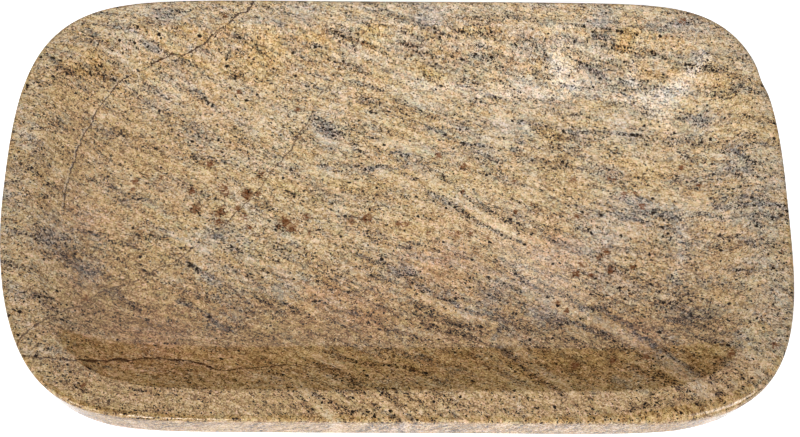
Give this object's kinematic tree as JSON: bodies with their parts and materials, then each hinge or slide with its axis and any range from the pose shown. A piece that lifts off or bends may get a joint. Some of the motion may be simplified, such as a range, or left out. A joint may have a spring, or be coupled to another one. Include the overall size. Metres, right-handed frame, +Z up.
{
  "type": "marble tray",
  "caption": "Shallow rounded-rectangle serving tray of golden speckled stone: a level rim, a soft-walled dish carved into the slab, and small pads beneath it.",
  "frame": {"origin": "middle of the tray, on the surface that it stands on", "axes": "+X along the tray to its right end, +Y to its back edge, +Z up out of the dish"},
  "size_m": [0.5, 0.3, 0.025],
  "materials": {
    "golden_stone": "polished",
    "pad_rubber": "matte"
  },
  "bodies": {
    "root": {"stone_slab": "golden_stone", "front_left_pad": "pad_rubber", "front_right_pad": "pad_rubber", "back_left_pad": "pad_rubber", "back_right_pad": "pad_rubber"}
  },
  "joints": []
}
